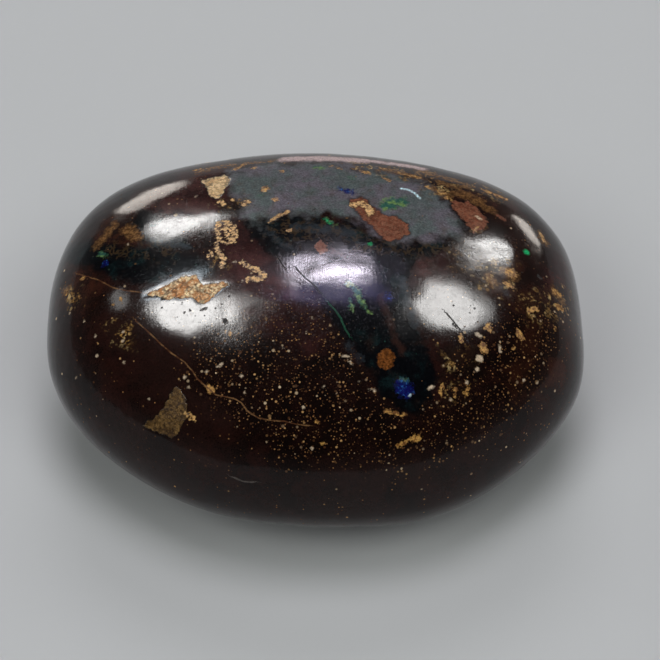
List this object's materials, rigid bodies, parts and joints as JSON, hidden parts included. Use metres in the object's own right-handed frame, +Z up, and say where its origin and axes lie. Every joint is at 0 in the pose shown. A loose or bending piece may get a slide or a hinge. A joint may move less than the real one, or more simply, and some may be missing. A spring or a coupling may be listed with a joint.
{
  "type": "boulder opal stone",
  "caption": "Polished freeform oval of brown ironstone with veins and flecks of opal, domed on top, rounded beneath and ground to a small flat that it rests on.",
  "frame": {"origin": "on the plane of the ground flat under the stone, below the middle of the stone's bounding box", "axes": "+X along the stone's length to the right, +Y away from the side it is shown from, +Z up out of the dome"},
  "size_m": [0.0278, 0.0218, 0.0126],
  "materials": {
    "opal_ironstone": "dark chocolate-maroon ironstone polished to a wet gloss, with grey and black opal, flashes of green and blue, brick-red and ochre inclusions and fine golden specks"
  },
  "bodies": {
    "root": {"boulder_opal_stone": "opal_ironstone"}
  },
  "joints": []
}
